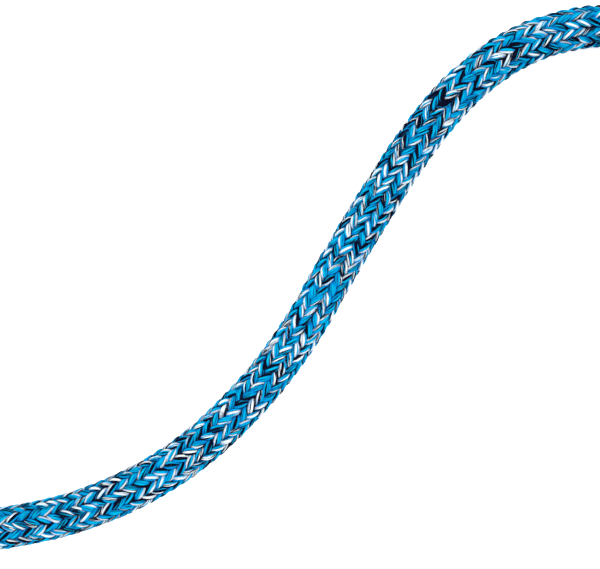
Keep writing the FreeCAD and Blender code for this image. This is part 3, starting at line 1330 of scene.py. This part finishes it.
@dataclass
class Braid:
    """The sheath's single ends where the rope lies free: carriers over two and under two.

    Attributes:
        sides: Of an end's section.
        dome: How much lower the outer ends of a carrier lie on top of a float.
        taper: How much closer its ends come where a carrier dives under.
        swing: How far a float is pushed aside by the ones that it crosses, in carriers.
        wander: How far a yarn strays sideways, in ends.
        unevenness: How far it strays out and in.
        stray_rate: Noise cells in a metre of yarn.
        stray_span: Noise that counts as -1 and as 1.
        stray_row: Step in the noise from one end to the next.
        drift_row: Step in the noise from one carrier to the next.
        drift_share: How much more a carrier strays than one of its ends.
        hand_step: Added to the strand number for one hand, taken off it for the other.
        first_phase: Shift of the crossings along the yarns, in repeats.
        taper_middle: Lift at which a carrier's ends lie their spacing apart.
        narrowest: Least share of that spacing.
        low_radius: Size of an end halfway between over and under.
        lift_swell: How much it swells on top of a float.
        stray_swell: How much it swells or shrinks where it strays.
    """

    plan: BraidPlan = BRAID
    sides: int = 8
    dome: float = 0.19 * MM
    taper: float = 0.64
    swing: float = 0.22
    wander: float = 0.24
    unevenness: float = 0.06 * MM
    seed: float = 3.0
    stray_rate: float = 170.0
    stray_span: Span = (0.25, 0.75)
    stray_row: float = 5.3
    drift_row: float = 7.7
    drift_share: float = 1.6
    hand_step: float = 25.0
    first_phase: float = 0.125
    taper_middle: float = 0.4
    narrowest: float = 0.15
    low_radius: float = 0.92
    lift_swell: float = 0.16
    stray_swell: float = 0.18

    def stray(self, g: Graph, length: Value, row: Value, seed: Value) -> Value:
        """A slow noise along a yarn, from -1 to 1."""
        noise = g.noise(g.combine(length * self.stray_rate, row, seed), detail=1.0)
        return g.fit(noise, self.stray_span, BOTH_WAYS)

    def tree(self) -> Tree:
        """Builds the geometry tree of one end of every carrier of one hand.

        Returns:
            The tree, which turns the rope's line into yarns.
        """
        sizes = ("Hand", "End", "Lay", "Middle Radius", "Crimp", "Spacing", "Width", "Thickness",
                 "Dome", "Taper", "Swing", "Wander", "Unevenness", "Step", "Seed")
        inputs = {"Geometry": "Geometry", "Carriers": "Int", "Sides": "Int", "Material": "Material",
                  **dict.fromkeys(sizes, "Float")}
        g = new_group("braid_ends", "GeometryNodeTree", inputs, {"Geometry": "Geometry"})
        given = g.given()
        hand, end, carriers = given["Hand"], given["End"], given["Carriers"]
        line = g.get("GeometryNodeMeshToCurve", {"Mesh": given["Geometry"]})
        even = g.get("GeometryNodeResampleCurve", {"Curve": line, "Length": given["Step"]}, mode="LENGTH")
        copies = g.outputs(g.add(
            "GeometryNodeDuplicateElements", {"Geometry": even, "Amount": carriers}, domain="SPLINE"))
        number = copies["Duplicate Index"]
        length = g.get("GeometryNodeSplineParameter", output="Length")

        wound = number / carriers + hand * (length / given["Lay"])
        round_length = given["Middle Radius"] * TURN
        lean = given["Lay"] / round_length
        apart = given["Spacing"] * g.math("SQRT", 1.0 + 1.0 / (lean * lean)) / round_length
        offset = end * apart
        strand = number + end * END_STEP + hand * self.hand_step
        phase = (wound + offset * 0.5) * (carriers * 0.5) - self.first_phase
        over = g.math("COSINE", phase * TURN) * hand
        # Flattened at both ends, so that a float stays on top and then drops quickly.
        lift = over * 1.5 - over * over * over * 0.5
        stray = self.stray(g, length, strand * self.stray_row, given["Seed"])
        drift = self.stray(g, length, number * self.drift_row + hand, given["Seed"])
        sideways = apart * (stray + drift * self.drift_share) * given["Wander"]
        taper = 1.0 + given["Taper"] * (lift - self.taper_middle)
        taper = g.math("MAXIMUM", taper, self.narrowest)
        swing = g.math("SINE", phase * TURN) * hand * given["Swing"] / (carriers * -math.pi)
        angle = (wound + offset * taper + sideways + swing) * TURN

        normal = g.get("GeometryNodeInputNormal")
        side = g.vector("CROSS_PRODUCT", g.get("GeometryNodeInputTangent"), normal)
        outward = g.vector("ADD", g.vector("SCALE", normal, g.math("COSINE", angle)),
                           g.vector("SCALE", side, g.math("SINE", angle)))
        counter = phase + g.math("LESS_THAN", hand, 0.0) * 0.5
        keep = g.add("GeometryNodeCaptureAttribute", {"Geometry": copies["Geometry"]}, domain="POINT")
        for kind, name, value in (("VECTOR", "Outward", outward), ("FLOAT", "Lift", lift),
                                  ("VECTOR", "Yarn", g.combine(strand, counter, length)),
                                  ("FLOAT", "Stray", stray), ("FLOAT", "Drift", drift)):
            keep.capture_items.new(kind, name)
            g.feed(keep.inputs[name], value)
        kept = g.outputs(keep)

        on_top = g.fit(kept["Lift"], BOTH_WAYS)
        crimp = given["Crimp"] * kept["Lift"]
        rough = (kept["Stray"] + kept["Drift"]) * given["Unevenness"]
        height = given["Middle Radius"] + crimp + rough - abs(end) * given["Dome"] * on_top
        radius = self.low_radius + kept["Lift"] * self.lift_swell + kept["Stray"] * self.stray_swell
        moved = g.get("GeometryNodeSetPosition", {
            "Geometry": kept["Geometry"], "Offset": g.vector("SCALE", kept["Outward"], height)})
        turned = g.get("GeometryNodeSetCurveNormal", {
            "Curve": moved, "Normal": kept["Outward"]}, mode="FREE")
        sized = g.get("GeometryNodeSetCurveRadius", {"Curve": turned, "Radius": radius})
        named = g.store(sized, "yarn", kept["Yarn"], "FLOAT_VECTOR")
        named = g.store(g.store(named, "lift", kept["Lift"]), "end", end)
        skin = g.get("GeometryNodeCurveToMesh", {
            "Curve": named, "Profile Curve": self.section(g, given), "Fill Caps": True})
        smooth = g.get("GeometryNodeSetShadeSmooth", {"Geometry": skin})
        real = g.get("GeometryNodeRealizeInstances", {"Geometry": smooth})
        done = g.get("GeometryNodeSetMaterial", {"Geometry": real, "Material": given["Material"]})
        g.add("NodeGroupOutput", {"Geometry": done})
        return g.tree

    @staticmethod
    def section(g: Graph, given: Mapping[str, Value]) -> Value:
        """Flattened round section of an end, with its seam on the inner side.

        Args:
            g: The tree's graph.
            given: The tree's inputs.

        Returns:
            The section, which carries how far round each point is.
        """
        circle = g.get("GeometryNodeCurvePrimitiveCircle", {"Resolution": given["Sides"], "Radius": 0.5})
        size = g.combine(given["Thickness"], given["Width"], 1.0)
        flat = g.get("GeometryNodeTransform", {
            "Geometry": circle, "Scale": size, "Rotation": (0.0, 0.0, math.pi)})
        return g.store(flat, "around", g.get("GeometryNodeSplineParameter", output="Factor"))

    def build(self, line: np.ndarray, material: Material) -> list[Piece]:
        """Makes one piece for each hand and end.

        Args:
            line: Points of the stretch that the braid covers.
            material: Of the yarns.

        Returns:
            The pieces.
        """
        tree, edges = self.tree(), [(k, k + 1) for k in range(len(line) - 1)]
        pieces = []
        for hand in Hand:
            for end in End:
                values = {**titled(self.plan), **titled(self), "Hand": float(hand.value),
                          "End": float(end.value), "Material": material}
                name = f"braid_{hand.name.lower()}_lay_{end.name.lower()}_ends"
                piece = grown(name, line.tolist(), edges, tree, values)
                carry(piece, "sheath")
                pieces.append(piece)
        return pieces


@dataclass
class ShrunkSleeve:
    """Sleeve shrunk over an end of the rope, through which the braid shows faintly.

    Attributes:
        node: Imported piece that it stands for.
        start: Distance from the rope's free end to where the sleeve starts.
        lip: Radius of its rounded rims.
        relief: How far the braid under it shows.
    """

    node: str
    start: float
    length: float = ROPE.sleeve_length
    radius: float = ROPE.sleeve_radius + 0.05 * MM
    bore: float = ROPE.radius - 0.15 * MM
    lip: float = 0.35 * MM
    relief: float = 0.07 * MM
    sides: int = 112
    stations: int = 74

    def build(self, guide: Guide, material: Material) -> Piece:
        """Makes the sleeve as a closed ring round the rope.

        Args:
            guide: Along the rope.
            material: Of the sleeve.

        Returns:
            The piece.
        """
        share = np.linspace(0.0, 1.0, self.stations)
        edge = np.minimum(share, 1 - share) * self.length
        round_off = self.lip * (1 - np.sqrt(1 - np.clip(1 - edge / self.lip, 0, 1) ** 2))
        outer_at = self.start + share * self.length
        angles = round_angles(self.sides)
        turn = outer_at[:, None] * TURN / BRAID.lay
        right, left = ((angles + way * turn) * BRAID.carriers / 2 for way in (1, -1))
        outer = (self.radius - round_off)[:, None] + self.relief * np.cos(right) * np.cos(left)
        inner = np.full((2, self.sides), self.bore)
        stations = np.concatenate([outer_at, [outer_at[-1], outer_at[0]]])
        points = guide.rings(stations, np.concatenate([outer, inner]))
        last = (self.stations + 1) * self.sides
        faces = ring_faces(self.stations + 2, self.sides)[:-2]
        faces += [(last + j, last + (j + 1) % self.sides, (j + 1) % self.sides, j)
                  for j in range(self.sides)]
        return add_piece(mesh_from(f"shrunk_{self.node}", points, faces), material, "sleeve", self.node)


@dataclass
class MeltedTip:
    """Lump of melted polyamide past a sleeve.

    Attributes:
        node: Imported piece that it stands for.
        base: Distance from the rope's free end to where the lump leaves the sleeve.
        way: -1 if the lump points back past the free end, 1 if it points past the other.
        root: How far it reaches into the sleeve.
        lumps: Height of its lumps.
        flat: Radius of its blunt end.
        spacing_power: How its rings crowd towards the root.
        dome_power: How square its outline is.
        waves: Lumps round it, fewest and most.
        swirl: How far the lumps turn from root to end, at most.
    """

    node: str
    base: float
    way: int
    length: float = ROPE.tip_length
    radius: float = 5.1 * MM
    root: float = 0.6 * MM
    lumps: float = 0.22 * MM
    flat: float = 0.25 * MM
    spacing_power: float = 0.8
    dome_power: float = 3.2
    waves: tuple[int, int] = (2, 8)
    swirl: float = 3.0
    sides: int = 64
    stations: int = 26
    seed: int = 5

    def build(self, guide: Guide, material: Material) -> Piece:
        """Makes the lump as a closed dome.

        Args:
            guide: Along the rope.
            material: Of the lump.

        Returns:
            The piece.
        """
        draw = random.Random(self.seed + self.way)
        share = np.linspace(0.0, 1.0, self.stations) ** self.spacing_power
        dome = self.radius * np.clip(1 - share ** self.dome_power, 0.0, 1.0) ** 0.5
        dome[-1] = self.flat
        angles = round_angles(self.sides)
        bumps = np.zeros((self.stations, self.sides))
        for waves in range(self.waves[0], self.waves[1] + 1):
            start, swirl = draw.uniform(0, TURN), draw.uniform(-self.swirl, self.swirl)
            bumps += np.cos(waves * angles[None, :] + start + swirl * share[:, None]) / waves
        radii = dome[:, None] + self.lumps * bumps * np.minimum(dome / self.radius, 1.0)[:, None]
        stations = self.base + self.way * (share * (self.length + self.root) - self.root)
        faces = [face[::self.way] for face in ring_faces(self.stations, self.sides)]
        mesh = mesh_from(f"melted_{self.node}", guide.rings(stations, radii), faces)
        return add_piece(mesh, material, "melted_end", self.node)


@dataclass
class Strap:
    """Webbing strap round the hank, its ends lapped on top and sewn through.

    Attributes:
        node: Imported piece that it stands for.
        corner: Radius of its line at the hank's corners.
        lap: Length of its lapped ends.
        ramp: Length in which the upper end climbs onto the lower one.
        ramp_points: Points in which it climbs.
        arc_points: Points of a corner.
        bead: Height of the bead along each selvedge.
        bead_inset: From the selvedge to the bead.
        bead_width: Of the bead.
        section_points: Across one face.
        edge_points: Round one selvedge.
        edge_angle: From a selvedge's middle to the last of its points, in degrees.
        sway: How far the strap wanders sideways.
        sway_turns: Waves of that in the whole strap.
        sway_shift: Angle by which they start later, for a metre along the hank.
        step: Between the points of a straight stretch.
    """

    node: str
    width: float = 25.0 * MM
    thickness: float = 1.4 * MM
    corner: float = 6.2 * MM
    lap: float = 70.0 * MM
    ramp: float = 7.0 * MM
    ramp_points: int = 8
    arc_points: int = 11
    bead: float = 0.12 * MM
    bead_inset: float = 1.6 * MM
    bead_width: float = 0.7 * MM
    section_points: int = 21
    edge_points: int = 7
    edge_angle: float = 72.0
    sway: float = 0.35 * MM
    sway_turns: float = 3.3
    sway_shift: float = 40.0
    step: float = 2.5 * MM

    def __post_init__(self) -> None:
        """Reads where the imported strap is."""
        self.low, self.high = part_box(self.node)
        self.middle = (self.low + self.high) / 2

    def loop(self) -> np.ndarray:
        """Middle line of the webbing across the hank.

        Returns:
            Y and Z from one end to the other.
        """
        half, r = self.thickness / 2, self.corner
        left, right = self.low.y + half, self.high.y - half
        bottom, lower, upper = self.low.z + half, self.high.z - 3 * half, self.high.z - half
        start, end = self.middle.y - self.lap / 2, self.middle.y + self.lap / 2
        points = self.straight((start, lower), (right - r, lower))
        points += self.arc((right - r, lower - r), 90)
        points += self.straight((right, lower - r), (right, bottom + r))
        points += self.arc((right - r, bottom + r), 0)
        points += self.straight((right - r, bottom), (left + r, bottom))
        points += self.arc((left + r, bottom + r), -90)
        points += self.straight((left, bottom + r), (left, lower - r))
        points += self.arc((left + r, lower - r), -180)
        points += self.straight((left + r, lower), (start - self.ramp, lower))
        for k in range(1, self.ramp_points + 1):
            share = k / self.ramp_points
            rise = share * share * (3 - 2 * share)
            points.append((start - self.ramp * (1 - share), lower + (upper - lower) * rise))
        points += self.straight((start, upper), (end, upper))
        points.append((end, upper))
        return np.array(points)

    def straight(self, start: Span, end: Span) -> list[Span]:
        """Points between two places, without the places themselves."""
        count = max(2, round(math.dist(start, end) / self.step))
        return [tuple(s + (e - s) * k / count for s, e in zip(start, end)) for k in range(1, count)]

    def arc(self, middle: Span, start: float) -> list[Span]:
        """Points of a quarter turn downwards.

        Args:
            middle: Of the turn.
            start: Its first angle, in degrees.

        Returns:
            The points in order, with both ends.
        """
        points = []
        for degrees in np.linspace(start, start - 90, self.arc_points):
            angle = math.radians(degrees)
            points.append((middle[0] + self.corner * math.cos(angle),
                           middle[1] + self.corner * math.sin(angle)))
        return points

    def section(self) -> np.ndarray:
        """Outline across the webbing, with a bead along each selvedge.

        Returns:
            The closed outline's points: place across, and height.
        """
        half, thick = self.width / 2, self.thickness / 2
        across = np.linspace(-1, 1, self.section_points) * (half - thick)
        bead = self.bead * np.exp(-((np.abs(across) - (half - self.bead_inset)) / self.bead_width) ** 2)
        top = np.stack([across, thick - self.bead + bead], axis=1)
        turn = np.radians(np.linspace(self.edge_angle, -self.edge_angle, self.edge_points))
        edge = np.stack([half - thick + thick * np.cos(turn), (thick - self.bead) * np.sin(turn)], axis=1)
        return np.concatenate([top, edge, top[::-1] * (1, -1), edge[::-1] * (-1, 1)])

    def build(self, material: Material) -> Piece:
        """Makes the strap with its UV map, both ways in metres.

        Args:
            material: Of the webbing.

        Returns:
            The piece.
        """
        loop, section = self.loop(), self.section()
        ahead = directions(loop)
        out = np.stack([-ahead[:, 1], ahead[:, 0]], axis=1)
        rings, sides = len(loop), len(section)
        phase = np.linspace(0.0, self.sway_turns * TURN, rings) + self.middle.x * self.sway_shift
        points = np.zeros((rings, sides, 3))
        points[..., 0] = self.middle.x + section[None, :, 0] + self.sway * np.sin(phase)[:, None]
        points[..., 1:] = loop[:, None] + section[None, :, 1, None] * out[:, None]
        mesh = mesh_from(f"webbing_{self.node}", points, ring_faces(rings, sides))
        along = distances(loop)
        corners = np.array([corner.vertex_index for corner in mesh.loops])
        places = np.stack([section[corners % sides, 0] + self.width / 2, along[corners // sides]], axis=1)
        mesh.uv_layers.new(name=UV).data.foreach_set("uv", places.ravel())
        return add_piece(mesh, material, "webbing", self.node)


@dataclass
class Seam:
    """Box seam with a cross, sewn through a strap's lap.

    Attributes:
        stitch: Length of a stitch.
        pitch: From one stitch to the next.
        thread: Thickness of the thread.
        margin_along: From the lap's ends to the box.
        margin_across: From the selvedges to the box.
        rise: Of the stitches' middle over the webbing.
    """

    stitch: float = 2.6 * MM
    pitch: float = 3.3 * MM
    thread: float = 0.55 * MM
    margin_along: float = 5.0 * MM
    margin_across: float = 3.6 * MM
    rise: float = 0.02 * MM
    segments: int = 10
    rings: int = 8

    def tree(self) -> Tree:
        """Builds the geometry tree that puts stitches along edges.

        Returns:
            The tree.
        """
        inputs = {"Geometry": "Geometry", "Stitch": "Float", "Pitch": "Float", "Thread": "Float",
                  "Segments": "Int", "Rings": "Int", "Material": "Material"}
        g = new_group("stitches", "GeometryNodeTree", inputs, {"Geometry": "Geometry"})
        given = g.given()
        line = g.get("GeometryNodeMeshToCurve", {"Mesh": given["Geometry"]})
        even = g.get("GeometryNodeResampleCurve", {"Curve": line, "Length": given["Pitch"]}, mode="LENGTH")
        ball = g.get("GeometryNodeMeshUVSphere", {
            "Segments": given["Segments"], "Rings": given["Rings"], "Radius": 0.5})
        size = g.combine(given["Stitch"], given["Thread"], given["Thread"])
        stitch = g.get("GeometryNodeTransform", {"Geometry": ball, "Scale": size})
        turn = g.get("FunctionNodeAlignRotationToVector", {
            "Vector": g.get("GeometryNodeInputTangent")}, axis="X")
        placed = g.get("GeometryNodeInstanceOnPoints", {
            "Points": even, "Instance": stitch, "Rotation": turn})
        real = g.get("GeometryNodeRealizeInstances", {"Geometry": placed})
        smooth = g.get("GeometryNodeSetShadeSmooth", {"Geometry": real})
        done = g.get("GeometryNodeSetMaterial", {"Geometry": smooth, "Material": given["Material"]})
        g.add("NodeGroupOutput", {"Geometry": done})
        return g.tree

    def build(self, strap: Strap, tree: Tree, material: Material) -> Piece:
        """Sews one strap.

        Args:
            strap: The strap.
            tree: The tree that places stitches.
            material: Of the thread.

        Returns:
            The stitches as one piece.
        """
        along, across = strap.lap / 2 - self.margin_along, strap.width / 2 - self.margin_across
        corners = [(strap.middle.x + x * across, strap.middle.y + y * along, strap.high.z + self.rise)
                   for x, y in ((-1, -1), (1, -1), (1, 1), (-1, 1))]
        edges = [(0, 1), (1, 2), (2, 3), (3, 0), (0, 2), (1, 3)]
        values = {**titled(self), "Material": material}
        piece = grown(f"stitches_{strap.node}", corners, edges, tree, values)
        carry(piece, "webbing")
        return piece


def dress_hidden_nodes(effects: EffectLibrary) -> None:
    """Gives the core's strands and the marker tape, which stay as packed, their materials.

    Args:
        effects: The shared groups.
    """
    core, tape = CORE_STRAND.material(effects), MARKER_TAPE.material(effects)
    for name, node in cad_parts.items():
        if name.startswith("core_strand") or name == "marker_tape":
            material = tape if name == "marker_tape" else core
            if node.material_slots:
                node.material_slots[0].material = material
            else:
                node.data.materials.append(material)
            log.info("%s: dressed", name)


@dataclass(frozen=True)
class Lamp:
    """Soft square light, placed from the middle of the picture; its power is in watts."""

    name: str
    place: tuple[float, float, float]
    size: float
    power: float

    def hang(self, middle: Vector) -> None:
        """Hangs the lamp, aimed at the middle.

        Args:
            middle: Of the picture.
        """
        data = bpy.data.lights.new(self.name, "AREA")
        data.size, data.energy = self.size, self.power
        lamp = bpy.data.objects.new(self.name, data)
        lamp.location = middle + Vector(self.place)
        lamp.rotation_euler = (middle - lamp.location).to_track_quat("-Z", "Y").to_euler()
        bpy.context.scene.collection.objects.link(lamp)


@dataclass
class Studio:
    """Floor, soft light and the camera of the photograph.

    Attributes:
        picture_width: Width of what the camera sees at the top of the rope.
        lens: Focal length in millimetres.
        sensor: Width in millimetres.
        nudge: Of the camera from the middle.
        floor_radius: Of the flat floor.
        floor_middle: Radius of the floor's middle face.
        backdrop_curve: Radius in which the floor curves up.
        backdrop_angle: How far it curves up, in degrees.
        lamps: The main light, nearly overhead, and a weak one from the side.
        room_light: Strength of the light from all round.
    """

    picture_width: float = 147.5 * MM
    lens: float = 100.0
    sensor: float = 36.0
    nudge: Span = (-0.20 * MM, 0.20 * MM)
    floor_radius: float = 3.2
    floor_middle: float = 0.5
    floor_sides: int = 96
    backdrop_curve: float = 1.6
    backdrop_angle: float = 80.0
    backdrop_rings: int = 17
    lamps: tuple[Lamp, ...] = (Lamp("main_light", (-0.03, 0.06, 1.42), 0.4, 26.0),
                               Lamp("fill_light", (1.3, -0.9, 1.1), 1.2, 4.0))
    room_colour: Colour = (1.0, 1.0, 1.0, 1.0)
    room_light: float = 0.40

    def camera(self, middle: Vector) -> None:
        """Sets the camera straight above the middle of the picture.

        Args:
            middle: Of the picture.
        """
        data = bpy.data.cameras.new("camera")
        data.lens, data.sensor_width = self.lens, self.sensor
        camera = bpy.data.objects.new("camera", data)
        above = ROPE.radius + self.picture_width * self.lens / self.sensor
        camera.location = middle + Vector((*self.nudge, above))
        bpy.context.scene.collection.objects.link(camera)
        bpy.context.scene.camera = camera

    def floor(self, middle: Vector) -> None:
        """Lays the floor, which curves up into a plain backdrop all round.

        Args:
            middle: Of the picture.
        """
        turn = np.radians(np.linspace(0, self.backdrop_angle, self.backdrop_rings))
        curve = self.floor_radius + self.backdrop_curve * np.sin(turn)
        reach = np.concatenate([[self.floor_middle], curve])
        height = np.concatenate([[0.0], self.backdrop_curve * (1 - np.cos(turn))])
        sides = self.floor_sides
        angles = round_angles(sides)
        rim = np.stack([np.cos(angles), np.sin(angles), np.zeros(sides)], axis=1)
        points = rim[None] * reach[:, None, None] + height[:, None, None] * np.array((0.0, 0.0, 1.0))
        faces = [(a[1], a[0], a[3], a[2]) for a in ring_faces(len(reach), sides)[:-2]]
        faces.append(tuple(range(sides)))
        floor = add_object("floor", mesh_from("floor", points + np.array(middle), faces))
        floor.data.materials.append(FloorFinish().plain())

    def lights(self, middle: Vector) -> None:
        """Hangs the lamps and lights the room.

        Args:
            middle: Of the picture.
        """
        for lamp in self.lamps:
            lamp.hang(middle)
        world = bpy.data.worlds.new("room")
        world.use_nodes = True
        sky = world.node_tree.nodes["Background"]
        sky.inputs["Color"].default_value = self.room_colour
        sky.inputs["Strength"].default_value = self.room_light
        bpy.context.scene.world = world
        bpy.context.scene.view_settings.view_transform = "Standard"


def main() -> None:
    """Builds the studio and the rope, and reports each piece."""
    logging.basicConfig(level=logging.INFO, format="%(name)s %(message)s")
    line = RopeLine(HankWinding())
    middle = Vector((line.shift.x, line.shift.y, 0.0))
    studio = Studio()
    studio.camera(middle)
    studio.floor(middle)
    studio.lights(middle)
    effects = EffectLibrary()

    guide = Guide(line.read())
    entry = np.argmin(np.linalg.norm(guide.line - np.array(line.entry), axis=1))
    strap_low, strap_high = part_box("strap_1")
    braided = guide.along[entry] + (strap_low.x + strap_high.x) / 2 - line.entry.x
    tube = RopeTube(line, braided)
    rope = tube.build(BraidFinish().material(effects), UNDER_YARN_SHADE.material(effects))
    yarns = Braid().build(guide.line[guide.along < braided], YarnFinish().material(effects))

    dress_hidden_nodes(effects)
    shrink, melt = ShrinkFinish().material(effects), MeltFinish().material(effects)
    ends = [
        ShrunkSleeve("free_end_sleeve", 0.0).build(guide, shrink),
        ShrunkSleeve("coiled_end_sleeve", guide.length - ROPE.sleeve_length).build(guide, shrink),
        MeltedTip("free_end_tip", 0.0, -1).build(guide, melt),
        MeltedTip("coiled_end_tip", guide.length, 1).build(guide, melt),
    ]
    webbing, thread = WebbingFinish().material(effects), THREAD.material(effects)
    seam = Seam()
    stitching = seam.tree()
    for node in ("strap_1", "strap_2"):
        strap = Strap(node)
        strap.build(webbing)
        seam.build(strap, stitching, thread)


if __name__ == "__main__":
    main()
